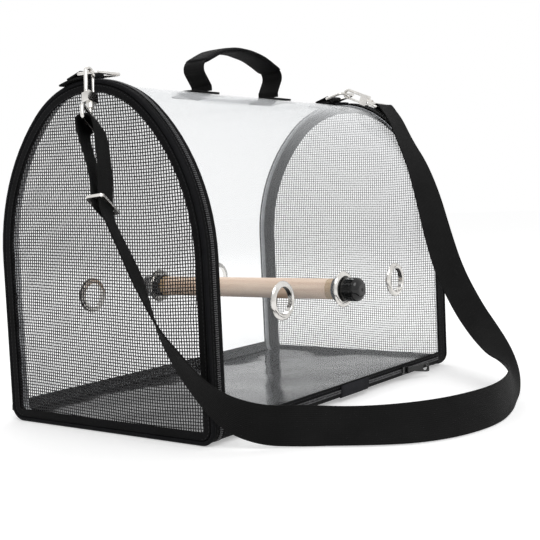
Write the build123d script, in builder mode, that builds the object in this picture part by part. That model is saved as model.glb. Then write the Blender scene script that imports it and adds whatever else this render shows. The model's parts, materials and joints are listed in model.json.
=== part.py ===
"""Soft-sided bird travel carrier: a clear arched tunnel between two net ends.

Millimetres. X runs along the tunnel with the zipped door end at -X, Y runs across it,
+Z is up, and the origin is under the middle of the carrier on the ground. The strap lies
out on the -Y side, which also has the base zip.
"""

from build123d import *

import os
from math import asin, atan2, cos, degrees, radians, sin, sqrt

os.makedirs("parts", exist_ok=True)

# ---------------------------------------------------------------- driving sizes
length = 412.0
width = 242.0
height = 300.0
spring_height = 148.0      # the sides are straight up to here
crown_radius = 97.0        # top arc of the arch
corner_radius = 14.0       # bottom corners of the arch

fabric = 1.6               # folded and sewn fabric
sheet = 1.0                # clear sheet
hoop = 0.8                 # flat spring-steel hoops
hoop_edge = 0.9            # each hoop stops this far inside the fabric band's edges
piping_radius = 2.0
layer_gap = 0.2
seam_gap = 0.1

band_inset = 1.0           # the fabric lies this far inside the piping's outline
face_width = 7.0           # fabric ring round each net
zip_depth = 10.0           # door zip behind the end plane
band_depth = 18.0          # fabric band behind the end plane
base_side = 17.0           # black edge under each clear side
board = 3.0                # stiff board in the floor
lining = 1.0

coil_height = 1.2
coil_row = 1.5
coil_gap = 0.4

net_pitch = 15.6
net_thread = 2.2
net_margin = 6.0
net_thick = 1.0

perch_radius = 10.0
perch_overhang = 17.0      # dowel past each clear side
cap_wall = 1.3
cap_end = 3.0
cap_depth = 28.0
cap_bore_gap = 0.05
cap_dimple = 2.2

eyelet_pitch = 100.0
eyelet_height = 105.0
eyelet_clearance = 0.7     # round the perch's caps
eyelet_bore = perch_radius + cap_wall + eyelet_clearance
eyelet_rim = 5.3           # width of the eyelet's ring
eyelet_outer = eyelet_bore + eyelet_rim
eyelet_wall = 0.7
eyelet_lip = 2.3

handle_width = 25.0
webbing = 2.0
grip_width = 31.0
grip_thick = 6.0
foot_inner = 42.0
foot_length = 36.0
patch_width = 34.0

ring_inner = 27.0
ring_reach = 20.0
ring_wire = 1.5
ring_bar_y = 2.0
near_ring_x = -(length / 2 - 9.4)
far_ring_x = length / 2 - 22.0
tab_width = 25.0
tab_length = 27.0
tab_thick = 1.6
tab_lift = 0.6             # over the zip, so that the door can turn under its tab
pin_gap = 0.05

hook_bar = 1.6
gate_bar = 1.1
hook_half = 4.2            # nose arc
hook_offset = 0.5          # the ring's wire lies this far beside the nose's middle
wire_rest = 0.62           # and this far above it
gate_foot = 22.5           # gate hinge below the wire
block_top = 19.5
block_foot = 34.0
block_thick = 7.0
stem_radius = 1.75
eye_inner = 33.6
eye_top = 39.0
eye_bar = 50.0             # the bar that the strap hangs on, below the wire
eye_wire = 1.6
eye_corner = 2.3

strap_width = 32.0
strap_thick = 1.6

# ---------------------------------------------------------------- the arch outline
half_width = width / 2
half_length = length / 2
rise = height - spring_height
side_radius = (half_width**2 + rise**2 - 2 * rise * crown_radius) / (
    2 * (half_width - crown_radius)
)
crown_z = height - crown_radius
side_y = half_width - side_radius
join_angle = degrees(atan2(crown_z - spring_height, -side_y))


def arch(inset):
    """The end outline, moved inward: flat foot, round corners, straight sides, three arcs."""
    corner_y = half_width - corner_radius
    wall = half_width - inset
    with BuildSketch() as outline:
        with BuildLine():
            Line((-corner_y, inset), (corner_y, inset))
            CenterArc((corner_y, corner_radius), corner_radius - inset, -90, 90)
            Line((wall, corner_radius), (wall, spring_height))
            CenterArc((side_y, spring_height), side_radius - inset, 0, join_angle)
            CenterArc((0, crown_z), crown_radius - inset, join_angle, 180 - 2 * join_angle)
            CenterArc((-side_y, spring_height), side_radius - inset, 180 - join_angle, join_angle)
            Line((-wall, spring_height), (-wall, corner_radius))
            CenterArc((-corner_y, corner_radius), corner_radius - inset, 180, 90)
        make_face()
    return outline.sketch


def arch_ring(outer, inner):
    """The strip of the end plane between two insets."""
    with BuildSketch() as ring:
        add(arch(outer))
        add(arch(inner), mode=Mode.SUBTRACT)
    return ring.sketch


def window(low_y, low_z, high_y, high_z):
    """A rectangle of the end plane."""
    with BuildSketch() as box:
        with Locations(((low_y + high_y) / 2, (low_z + high_z) / 2)):
            Rectangle(high_y - low_y, high_z - low_z)
    return box.sketch


def end_plane(side, depth):
    """A plane across the tunnel, this far behind the near (-1) or far (+1) end, facing +X."""
    return Plane.YZ.offset(side * (half_length - depth))


def write(part, name):
    part.label = name
    export_step(part, f"parts/{name}.step")


def extrude_ring(outer, inner, side, start, stop, region=None):
    """A ring between two insets and two depths behind one end, in the current part."""
    with BuildSketch(end_plane(side, start)) as section:
        add(arch_ring(outer, inner))
        if region is not None:
            add(region, mode=Mode.INTERSECT)
    extrude(section.sketch, amount=-side * (stop - start))


# ---------------------------------------------------------------- insets of each layer
rim_inner = band_inset + fabric
hoop_outer = rim_inner + layer_gap
hoop_inner = hoop_outer + hoop
sheet_outer = hoop_inner + layer_gap
sheet_inner = sheet_outer + sheet
liner_outer = 2 * piping_radius + layer_gap
liner_inner = liner_outer + fabric
face_inner = liner_outer + face_width

face_start = 0.4
web_start = 2 * piping_radius + layer_gap
rim_stop = zip_depth - coil_gap / 2
band_start = zip_depth + coil_gap / 2
sheet_start = zip_depth + 1.0
base_start = band_depth + layer_gap

# ---------------------------------------------------------------- end frames
with BuildPart() as door_frame:
    extrude_ring(liner_outer, face_inner, -1, face_start, face_start + fabric)
    extrude_ring(liner_outer, liner_inner, -1, face_start, rim_stop)
    extrude_ring(band_inset, liner_inner, -1, web_start, web_start + fabric)
    extrude_ring(band_inset, rim_inner, -1, web_start, rim_stop)
write(door_frame.part, "door_frame")

with BuildPart() as near_band:
    extrude_ring(band_inset, rim_inner, -1, band_start, band_depth)
write(near_band.part, "near_band")

with BuildPart() as far_frame:
    extrude_ring(liner_outer, face_inner, 1, face_start, face_start + fabric)
    extrude_ring(liner_outer, liner_inner, 1, face_start, rim_stop)
    extrude_ring(band_inset, liner_inner, 1, web_start, web_start + fabric)
    extrude_ring(band_inset, rim_inner, 1, web_start, band_depth)
write(far_frame.part, "far_frame")

for side, name in ((-1, "door_piping"), (1, "far_piping")):
    cord_line = arch(piping_radius).faces()[0].outer_wire()
    with BuildPart() as piping:
        with BuildLine() as cord_path:
            add(end_plane(side, piping_radius) * cord_line)
        with BuildSketch(Plane(cord_path.wire() @ 0, z_dir=cord_path.wire() % 0)):
            Circle(piping_radius)
        sweep(path=cord_path.wire())
    write(piping.part, name)

# Flat steel hoops hold both ends and the tunnel open.
hoop_spans = (
    ("door_hoop", -1, web_start + fabric + layer_gap, rim_stop - 0.6),
    ("near_hoop", -1, band_start + hoop_edge, band_depth - hoop_edge),
    ("far_hoop", 1, band_start + hoop_edge, band_depth - hoop_edge),
)
for name, side, start, stop in hoop_spans:
    with BuildPart() as hoop_strip:
        extrude_ring(hoop_outer, hoop_inner, side, start, stop)
    write(hoop_strip.part, name)

# ---------------------------------------------------------------- net ends
net_outer = liner_inner + seam_gap
net_opening = net_pitch - net_thread
net_columns = int(width / net_pitch) + 1
net_rows = int(height / net_pitch) + 1
smallest_gap = net_opening**2 / 8

with BuildSketch() as net_holes:
    with Locations((0, height / 2)):
        with GridLocations(net_pitch, net_pitch, net_columns, net_rows):
            Rectangle(net_opening, net_opening)
    add(arch(net_outer + net_margin), mode=Mode.INTERSECT)

net_gaps = [gap for gap in net_holes.sketch.faces() if gap.area > smallest_gap]
net_face = arch(net_outer).faces()[0].make_holes([gap.outer_wire() for gap in net_gaps])

net_start = face_start + fabric + seam_gap
for side, name in ((-1, "door_net"), (1, "far_net")):
    with BuildPart() as net:
        with BuildSketch(end_plane(side, net_start)):
            add(net_face)
        extrude(amount=-side * net_thick)
    write(net.part, name)

# ---------------------------------------------------------------- clear tunnel
sheet_foot = corner_radius / 2
sheet_wall = half_width - sheet_outer
eyelet_places = [(x, eyelet_height) for x in (-eyelet_pitch, 0, eyelet_pitch)]

with BuildPart() as clear_tunnel:
    with BuildSketch(end_plane(-1, sheet_start)):
        add(arch_ring(sheet_outer, sheet_inner))
        add(window(-width, sheet_foot, width, 2 * height), mode=Mode.INTERSECT)
    extrude(amount=length - 2 * sheet_start)
    with BuildSketch(Plane.XZ):
        with Locations(*eyelet_places):
            Circle(eyelet_bore + eyelet_wall + layer_gap)
    extrude(amount=width, both=True, mode=Mode.SUBTRACT)
write(clear_tunnel.part, "clear_tunnel")

# ---------------------------------------------------------------- base
base_half = half_length - base_start

with BuildPart() as base_cover:
    with BuildSketch(Plane.YZ.offset(-base_half)):
        add(arch_ring(band_inset, rim_inner))
        add(window(-width, 0, width, base_side), mode=Mode.INTERSECT)
        add(window(-half_width + corner_radius, 0, half_width - corner_radius, band_inset + seam_gap))
    extrude(amount=2 * base_half)
write(base_cover.part, "base_cover")

for sign, name in ((-1, "strap_side_binding"), (1, "plain_side_binding")):
    with BuildPart() as binding:
        with BuildSketch(Plane.YZ.offset(-base_half)):
            add(arch_ring(hoop_outer, hoop_inner))
            low_y, high_y = sorted((sign * width, sign * half_width / 2))
            add(window(low_y, corner_radius / 3, high_y, base_side), mode=Mode.INTERSECT)
        extrude(amount=2 * base_half)
    write(binding.part, name)

floor_half = half_width - corner_radius + 1.0
board_foot = rim_inner + seam_gap

with BuildPart() as floor_board:
    with BuildSketch(Plane.XY.offset(board_foot)):
        RectangleRounded(2 * base_half - 2.0, 2 * floor_half, 6.0)
    extrude(amount=board)
write(floor_board.part, "floor_board")

with BuildPart() as floor_lining:
    with BuildSketch(Plane.XY.offset(board_foot + board + seam_gap)):
        RectangleRounded(2 * (half_length - sheet_start), 2 * floor_half, 6.0)
    extrude(amount=lining)
write(floor_lining.part, "floor_lining")

# ---------------------------------------------------------------- zips
coil_outer = band_inset - seam_gap - coil_height
coil_inner = band_inset - seam_gap
zip_foot = 3.0
above_foot = window(-width, zip_foot, width, 2 * height)

for name, near_edge in (
    ("door_zip_coil", zip_depth - coil_gap / 2 - coil_row),
    ("band_zip_coil", zip_depth + coil_gap / 2),
):
    with BuildPart() as coil:
        extrude_ring(coil_outer, coil_inner, -1, near_edge, near_edge + coil_row, above_foot)
    write(coil.part, name)

base_zip_z = 10.5
base_zip_half = base_half - 4.0
for name, low_z in (
    ("base_zip_upper_coil", base_zip_z + coil_gap / 2),
    ("base_zip_lower_coil", base_zip_z - coil_gap / 2 - coil_row),
):
    with BuildPart() as coil:
        with BuildSketch(Plane.YZ.offset(-base_zip_half)):
            add(arch_ring(coil_outer, coil_inner))
            add(window(-width, low_z, 0, low_z + coil_row), mode=Mode.INTERSECT)
        extrude(amount=2 * base_zip_half)
    write(coil.part, name)

# Slider plates ride on the coils, each with a bail that carries its pull.
slider_length = 11.0
slider_width = 7.6
slider_plate = 1.6
slider_lift = 0.3
bail_radius = 1.1
bail_wall = 1.2
ear_x = 2.9
ear_thick = 1.0
ear_length = 3.2
ear_height = 2.6
pin_half = 3.3
pin_height = 1.5
pull_pin = 0.8
pull_wall = 0.6
pull_thick = 1.2
pull_round = 0.8
pull_length = 27.0
pull_root = 4.4
pull_heel = 1.2             # short enough to turn over the slider's plate
pull_tip = 4.6
pull_hole = 3.0


def slider(plane):
    """A zip slider on the plane's origin, travelling along the plane's y."""
    ear_y = slider_length / 2 - bail_wall - bail_radius
    with BuildPart() as body:
        with BuildSketch(plane):
            RectangleRounded(slider_width, slider_length, 2.4)
        extrude(amount=slider_plate)
        with BuildSketch(plane.offset(slider_plate)):
            with Locations((-ear_x, -ear_y), (ear_x, -ear_y)):
                Rectangle(ear_thick, ear_length)
        extrude(amount=ear_height)
        pin_plane = Plane(
            plane.from_local_coords((-pin_half, -ear_y, slider_plate + pin_height)),
            x_dir=plane.y_dir,
            z_dir=plane.x_dir,
        )
        with BuildSketch(pin_plane):
            Circle(pull_pin)
        extrude(amount=2 * pin_half)
    return body.part


def pull(plane, swing):
    """The pull on that slider's pin, swung this many degrees off the slider's plate."""
    ear_y = slider_length / 2 - bail_wall - bail_radius
    hinge = plane.from_local_coords((0, -ear_y, slider_plate + pin_height))
    reach = (-plane.y_dir) * cos(radians(swing)) + plane.z_dir * sin(radians(swing))
    flat = Plane(hinge, x_dir=plane.x_dir, z_dir=plane.x_dir.cross(-reach))
    flat = flat.offset(-pull_thick / 2)
    with BuildPart() as tongue:
        with BuildSketch(flat):
            with BuildLine():
                FilletPolyline(
                    (-pull_root / 2, pull_heel),
                    (-pull_root / 2, -7.0),
                    (-pull_tip, -pull_length + pull_tip),
                    (-pull_tip, -pull_length),
                    (pull_tip, -pull_length),
                    (pull_tip, -pull_length + pull_tip),
                    (pull_root / 2, -7.0),
                    (pull_root / 2, pull_heel),
                    close=True,
                    radius=pull_round,
                )
            make_face()
            with Locations((0, -pull_length + pull_tip + 0.4)):
                Circle(pull_hole, mode=Mode.SUBTRACT)
        extrude(amount=pull_thick)
        knuckle = Plane(
            hinge - plane.x_dir * (pull_root / 2), x_dir=plane.y_dir, z_dir=plane.x_dir
        )
        with BuildSketch(knuckle):
            Circle(pull_pin + pull_wall)
        extrude(amount=pull_root)
        with BuildSketch(knuckle):
            Circle(pull_pin + pin_gap)
        extrude(amount=pull_root, mode=Mode.SUBTRACT)
    return tongue.part


slider_face = half_width - coil_outer + slider_lift
base_slider_x = 104.0
base_slider_plane = Plane((base_slider_x, -slider_face, base_zip_z), x_dir=(0, 0, 1), z_dir=(0, -1, 0))
write(slider(base_slider_plane), "base_zip_slider")
base_pull_swing = 24.0
write(pull(base_slider_plane, base_pull_swing), "base_zip_pull")

door_slider_z = 37.0
door_slider_plane = Plane(
    (-half_length + zip_depth, slider_face, door_slider_z), x_dir=(-1, 0, 0), z_dir=(0, 1, 0)
)
write(slider(door_slider_plane), "door_zip_slider")
door_pull_swing = 4.0
write(pull(door_slider_plane, door_pull_swing), "door_zip_pull")

# A folded fabric tab covers the middle of the base zip.
zip_tab_x = 6.0
zip_tab_length = 50.0
zip_tab_thick = 1.0
with BuildPart() as zip_tab:
    with BuildSketch(Plane.YZ.offset(zip_tab_x - zip_tab_length / 2)):
        add(arch_ring(coil_outer - seam_gap - zip_tab_thick, coil_outer - seam_gap))
        add(window(-width, 4.0, 0, base_side - 1.0), mode=Mode.INTERSECT)
    extrude(amount=zip_tab_length)
write(zip_tab.part, "base_zip_tab")

# ---------------------------------------------------------------- eyelets
sheet_in_wall = sheet_wall - sheet
flange_face = sheet_wall + seam_gap
curl_face = sheet_in_wall - seam_gap - 0.8 - seam_gap
washer_face = sheet_in_wall - seam_gap


def eyelet_profile():
    """Half section: x is the radius, y is the distance from the tunnel's middle."""
    top = flange_face + eyelet_lip
    foot = curl_face - 0.9
    with BuildSketch() as section:
        with BuildLine():
            Line((eyelet_bore, foot), (eyelet_bore, top - 0.9))
            ThreePointArc(
                (eyelet_bore, top - 0.9), (eyelet_bore + 0.9, top - 0.05), (eyelet_bore + 1.8, top)
            )
            ThreePointArc(
                (eyelet_bore + 1.8, top),
                (eyelet_outer - 1.0, flange_face + 1.3),
                (eyelet_outer, flange_face),
            )
            Line((eyelet_outer, flange_face), (eyelet_bore + eyelet_wall, flange_face))
            Line((eyelet_bore + eyelet_wall, flange_face), (eyelet_bore + eyelet_wall, curl_face))
            Line((eyelet_bore + eyelet_wall, curl_face), (eyelet_bore + 2.4, curl_face))
            Line((eyelet_bore + 2.4, curl_face), (eyelet_bore + 2.4, foot))
            Line((eyelet_bore + 2.4, foot), (eyelet_bore, foot))
        make_face()
    return section.sketch


def eyelet_plane(x, side):
    """Local x away from the eyelet's axis, local y outward through the clear side."""
    return Plane((x, 0, eyelet_height), x_dir=(1, 0, 0), z_dir=(0, 0, side))


with BuildPart() as eyelets:
    for side in (-1, 1):
        for x, z in eyelet_places:
            plane = eyelet_plane(x, side)
            with BuildSketch(plane):
                add(eyelet_profile())
            revolve(axis=Axis((x, 0, z), (0, 1, 0)))
write(eyelets.part, "eyelets")

with BuildPart() as eyelet_washers:
    for side in (-1, 1):
        for x, z in eyelet_places:
            face = Plane((x, side * washer_face, z), x_dir=(1, 0, 0), z_dir=(0, -side, 0))
            with BuildSketch(face):
                Circle(eyelet_outer - 1.4)
                Circle(eyelet_bore + eyelet_wall + seam_gap, mode=Mode.SUBTRACT)
            extrude(amount=0.8)
write(eyelet_washers.part, "eyelet_washers")

# ---------------------------------------------------------------- perch
perch_half = sheet_wall + perch_overhang
with BuildPart() as perch_dowel:
    with BuildSketch(Plane.XZ.offset(-perch_half)):
        with Locations((0, eyelet_height)):
            Circle(perch_radius)
    extrude(amount=2 * perch_half)
    chamfer(perch_dowel.edges().filter_by(GeomType.CIRCLE), 0.8)
write(perch_dowel.part, "perch_dowel")

cap_outer = perch_radius + cap_wall
cap_reach = perch_half + layer_gap + cap_end
for side, name in ((-1, "strap_side_perch_cap"), (1, "plain_side_perch_cap")):
    mouth = cap_reach - cap_depth
    with BuildPart() as cap:
        with BuildSketch(Plane((0, 0, eyelet_height), x_dir=(1, 0, 0), z_dir=(0, 0, side))):
            with BuildLine():
                bore = perch_radius + cap_bore_gap
                floor_y = perch_half + layer_gap
                Line((bore, mouth), (cap_outer, mouth))
                Line((cap_outer, mouth), (cap_outer, cap_reach - 5.5))
                ThreePointArc(
                    (cap_outer, cap_reach - 5.5),
                    (cap_outer - 2.2, cap_reach - 1.6),
                    (cap_outer - 6.2, cap_reach),
                )
                Line((cap_outer - 6.2, cap_reach), (cap_dimple, cap_reach))
                Line((cap_dimple, cap_reach), (0, cap_reach - 1.0))
                Line((0, cap_reach - 1.0), (0, floor_y))
                Line((0, floor_y), (bore, floor_y))
                Line((bore, floor_y), (bore, mouth))
            make_face()
        revolve(axis=Axis((0, 0, eyelet_height), (0, 1, 0)))
    write(cap.part, name)

# ---------------------------------------------------------------- handle
roof = height - sheet_outer
handle_points = [
    (-54.0, roof + 0.2),
    (-54.0, roof + 7.0),
    (-69.0, roof + 26.0),
    (-36.0, roof + 41.0),
    (-4.0, roof + 46.0),
    (32.0, roof + 41.0),
    (66.0, roof + 27.0),
    (54.0, roof + 7.0),
    (54.0, roof + 0.2),
]
handle_bends = [8.0, 8.0, 60.0, 90.0, 90.0, 8.0, 8.0]


def handle_path():
    FilletPolyline(*handle_points, radius=handle_bends)


foot_low = sheet_outer - seam_gap
for sign, name in ((-1, "near_handle_foot"), (1, "far_handle_foot")):
    with BuildPart() as foot:
        with BuildSketch(Plane.YZ.offset(sign * foot_inner)):
            add(arch_ring(foot_low - webbing, foot_low))
            add(window(-handle_width / 2, crown_z, handle_width / 2, height), mode=Mode.INTERSECT)
        extrude(amount=sign * foot_length)
    write(foot.part, name)

patch_high = sheet_inner + seam_gap
for sign, name in ((-1, "near_handle_patch"), (1, "far_handle_patch")):
    with BuildPart() as patch:
        with BuildSketch(Plane.YZ.offset(sign * (foot_inner - 2.0))):
            add(arch_ring(patch_high, patch_high + fabric))
            add(window(-patch_width / 2, crown_z, patch_width / 2, height), mode=Mode.INTERSECT)
        extrude(amount=sign * (foot_length + 4.0))
    write(patch.part, name)

with BuildPart() as roof_strip:
    with BuildSketch(Plane.YZ.offset(-foot_inner + 2.2)):
        add(arch_ring(patch_high, patch_high + sheet))
        add(window(-patch_width / 2, crown_z, patch_width / 2, height), mode=Mode.INTERSECT)
    extrude(amount=2 * foot_inner - 4.4)
write(roof_strip.part, "roof_strip")

leg_foot = roof + webbing + 2 * seam_gap
with BuildPart() as handle_webbing:
    with BuildSketch(Plane.XZ.offset(-handle_width / 2)):
        with BuildLine() as centre_line:
            handle_path()
        trace(centre_line.line, line_width=webbing)
        with Locations((0, leg_foot + height / 2)):
            Rectangle(length, height, mode=Mode.INTERSECT)
    extrude(amount=handle_width)
write(handle_webbing.part, "handle_webbing")

grip_foot = roof + 31.0
sleeve_gap = 0.2
with BuildPart() as handle_grip:
    for thick, wide, mode in (
        (grip_thick, grip_width, Mode.ADD),
        (webbing + 2 * sleeve_gap, handle_width + 2 * sleeve_gap, Mode.SUBTRACT),
    ):
        with BuildSketch(Plane.XZ.offset(-wide / 2)):
            with BuildLine() as centre_line:
                handle_path()
            trace(centre_line.line, line_width=thick)
            with Locations((0, grip_foot + height / 2)):
                Rectangle(length, height, mode=Mode.INTERSECT)
        extrude(amount=wide, mode=mode)
write(handle_grip.part, "handle_grip")

# ---------------------------------------------------------------- rings on their tabs
tab_radius = crown_radius + tab_lift + tab_thick / 2
fold_radius = ring_wire + pin_gap + tab_thick / 2
bar_radius = tab_radius + fold_radius
bar_z = crown_z + sqrt(bar_radius**2 - ring_bar_y**2)
bar_angle = degrees(asin(ring_bar_y / bar_radius))
sewn_angle = degrees(tab_length / tab_radius)
tab_slope = 17.0
ring_half = ring_inner / 2 + ring_wire
ring_corner = 4.2
ring_knee = 1.8
far_lift = 13.0


def ring_plane(ring_x, lift):
    """Plane of a ring: origin on its bar, local y away from the tab."""
    outward = (0, -cos(radians(lift)), sin(radians(lift)))
    upward = (0, sin(radians(lift)), cos(radians(lift)))
    return Plane((ring_x, ring_bar_y, bar_z), x_dir=Vector(*outward).cross(Vector(*upward)), z_dir=upward)


# Each tab is sewn down to the fabric band through a pad, clear of the zip's coil.
near_pad = (-half_length + band_start + coil_row + 2 * layer_gap, layer_gap - half_length + band_depth)
far_pad = (half_length - band_depth + layer_gap, far_ring_x + tab_width / 2)
rings = (("near", near_ring_x, 0.0, near_pad), ("far", far_ring_x, far_lift, far_pad))
for end, ring_x, lift, (pad_low, pad_high) in rings:
    with BuildPart() as tab:
        with BuildSketch(Plane.YZ.offset(ring_x - tab_width / 2)):
            with BuildLine() as tab_line:
                CenterArc((0, crown_z), tab_radius, 90 - bar_angle - sewn_angle, sewn_angle)
                fold_from = 90 - bar_angle - tab_slope
                fold = CenterArc((ring_bar_y, bar_z), fold_radius, fold_from, 180 + tab_slope)
                top_end = Vector(0, crown_z) + Vector(0, tab_radius + tab_thick).rotate(
                    Axis.Z, -bar_angle - sewn_angle * 0.55
                )
                Line(fold @ 0, top_end)
            trace(tab_line.edges(), line_width=tab_thick)
        extrude(amount=tab_width)
        with BuildSketch(Plane.YZ.offset(pad_low)):
            add(arch_ring(-tab_lift - seam_gap, band_inset - seam_gap))
            add(window(ring_bar_y, crown_z, tab_length * 0.9, 2 * height), mode=Mode.INTERSECT)
        extrude(amount=pad_high - pad_low)
    write(tab.part, f"{end}_ring_tab")

    plane = ring_plane(ring_x, lift)
    with BuildPart() as d_ring:
        with BuildLine(plane) as loop:
            FilletPolyline(
                (ring_half, 0),
                (ring_half, ring_reach),
                (-ring_half, ring_reach),
                (-ring_half, 0),
                radius=[ring_knee, ring_corner, ring_corner, ring_knee],
                close=True,
            )
        with BuildSketch(Plane(loop.wire() @ 0, z_dir=loop.wire() % 0)):
            Circle(ring_wire)
        sweep(path=loop.wire())
    write(d_ring.part, f"{end}_d_ring")

# ---------------------------------------------------------------- swivel snap hooks
near_hook_y = 14.0
near_hook_at = ring_plane(near_ring_x, 0.0).from_local_coords((ring_half, near_hook_y, 0))
far_hook_at = ring_plane(far_ring_x, far_lift).from_local_coords((0, ring_reach, 0))
near_hang = Vector(-0.30, -0.27, -0.915).normalized()
far_hang = Vector(0.0, -0.915, -0.39).normalized()
near_eye_way = Vector(0.80, 0.42, 0)
far_eye_way = Vector(1, 0, 0)


def hook_plane(at, hang, wire_way):
    """Local y points back up the hook to its nose, z runs along the ring's wire."""
    up = -hang
    normal = (wire_way - up * wire_way.dot(up)).normalized()
    return Plane(at, x_dir=up.cross(normal), z_dir=normal)


def across_hook(plane, way, origin):
    """Plane of a hook's swivelling eye: local x along the strap's width, y up the hook."""
    up = plane.y_dir
    level = (way - up * way.dot(up)).normalized()
    return Plane(origin, x_dir=level, z_dir=level.cross(up))


hooks = (
    ("near", hook_plane(near_hook_at, near_hang, Vector(0, -1, 0)), near_eye_way),
    ("far", hook_plane(far_hook_at, far_hang, Vector(1, 0, 0)), far_eye_way),
)
back_x = -hook_half - hook_offset
gate_x = hook_half - hook_offset
nose_y = -wire_rest
nose_tip = -3.0
gate_tip = nose_tip - 0.3
gate_knuckle = 1.9
gate_pin = 0.8
collar_radius = 3.2
collar_depth = 5.2
head_radius = 2.4
head_depth = 2.0

for end, plane, eye_way in hooks:
    with BuildPart() as hook_body:
        with BuildLine(plane) as bar_line:
            back = Line((back_x, -block_top - 1.0), (back_x, nose_y))
            nose = CenterArc((-hook_offset, nose_y), hook_half, 180, -180)
            Line(nose @ 1, (gate_x, nose_tip))
        with BuildSketch(Plane(bar_line.wire() @ 0, z_dir=bar_line.wire() % 0)):
            Circle(hook_bar)
        sweep(path=bar_line.wire())
        block_low = plane.offset(-block_thick / 2)
        with BuildSketch(block_low):
            with Locations((-hook_offset, -(block_top + block_foot - collar_depth) / 2)):
                RectangleRounded(2 * hook_half + 3.4, block_foot - collar_depth - block_top, 1.6)
        extrude(amount=block_thick)
        with BuildSketch(plane.offset(-gate_knuckle / 2 - 0.35)):
            with Locations((gate_x + 0.6, -gate_foot + 1.2)):
                Rectangle(2 * gate_knuckle + 2.6, 2 * gate_knuckle + 4.6)
        extrude(amount=gate_knuckle + 0.7, mode=Mode.SUBTRACT)
        pin_low = plane.offset(-block_thick / 2)
        with BuildSketch(pin_low):
            with Locations((gate_x, -gate_foot)):
                Circle(gate_pin)
        extrude(amount=block_thick)
        collar_plane = Plane(
            plane.from_local_coords((-hook_offset, -block_foot, 0)), x_dir=plane.x_dir, z_dir=plane.y_dir
        )
        with BuildSketch(collar_plane):
            Circle(collar_radius)
        extrude(amount=collar_depth)
        with BuildSketch(collar_plane):
            Circle(stem_radius + pin_gap)
        extrude(amount=collar_depth + layer_gap, mode=Mode.SUBTRACT)
        with BuildSketch(collar_plane.offset(collar_depth)):
            Circle(head_radius + layer_gap)
        extrude(amount=head_depth + 3 * layer_gap, mode=Mode.SUBTRACT)
    write(hook_body.part, f"{end}_hook")

    with BuildPart() as hook_gate:
        gate_root = Plane(
            plane.from_local_coords((gate_x, -gate_foot, 0)), x_dir=plane.x_dir, z_dir=plane.y_dir
        )
        with BuildSketch(gate_root):
            Circle(gate_bar)
        extrude(amount=gate_foot + gate_tip)
        with BuildSketch(plane.offset(-gate_knuckle / 2)):
            with Locations((gate_x, -gate_foot)):
                Circle(gate_knuckle)
        extrude(amount=gate_knuckle)
        with BuildSketch(plane.offset(-gate_knuckle)):
            with Locations((gate_x, -gate_foot)):
                Circle(gate_pin + pin_gap)
        extrude(amount=2 * gate_knuckle, mode=Mode.SUBTRACT)
    write(hook_gate.part, f"{end}_hook_gate")

    stem_foot = plane.from_local_coords((-hook_offset, -eye_top, 0))
    eye_plane = across_hook(plane, eye_way, stem_foot)
    stem_plane = Plane(stem_foot, x_dir=eye_plane.x_dir, z_dir=plane.y_dir)
    with BuildPart() as hook_eye:
        with BuildSketch(stem_plane):
            Circle(stem_radius)
        extrude(amount=eye_top - block_foot + collar_depth + 2 * layer_gap)
        with BuildSketch(stem_plane.offset(eye_top - block_foot + collar_depth + seam_gap)):
            Circle(head_radius)
        extrude(amount=head_depth)
        with BuildLine(eye_plane) as eye_line:
            half = eye_inner / 2 + eye_wire
            FilletPolyline(
                (half, 0),
                (half, eye_top - eye_bar),
                (-half, eye_top - eye_bar),
                (-half, 0),
                radius=eye_corner,
                close=True,
            )
        with BuildSketch(Plane(eye_line.wire() @ 0, z_dir=eye_line.wire() % 0)):
            Circle(eye_wire)
        sweep(path=eye_line.wire())
    write(hook_eye.part, f"{end}_hook_eye")

# ---------------------------------------------------------------- shoulder strap
def hook_eye_bar(plane, eye_way):
    """Plane on the bar that the strap goes round: x along the bar, y up the hook."""
    return across_hook(plane, eye_way, plane.from_local_coords((-hook_offset, -eye_bar, 0)))


near_eye = hook_eye_bar(*hooks[0][1:])
far_eye = hook_eye_bar(*hooks[1][1:])

# Sideways and upward from the bar: the sewn loop that hangs on the near hook.
bar_clear = eye_wire + layer_gap + strap_thick / 2
near_loop = [
    (10.6, -76.0),
    (11.0, -40.0),
    (6.5, bar_clear),
    (-7.0, bar_clear),
    (2.2, -38.0),
    (6.2, -76.0),
]
near_loop_bends = [40.0, 6.0, 6.0, 40.0]

# Outward and up the strap from the bar: the sewn fold that holds the far hook.
far_lean = 53.0
fold_clear = 2.7
far_fold = [
    (-fold_clear, -20.0),
    (-fold_clear, 2.8),
    (fold_clear, 2.8),
    (fold_clear, -3.0),
    (strap_thick - fold_clear - 0.1, -12.0),
    (strap_thick - fold_clear - 0.1, -22.0),
]
far_fold_bends = [2.2, 2.2, 4.0, 4.0]

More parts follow.
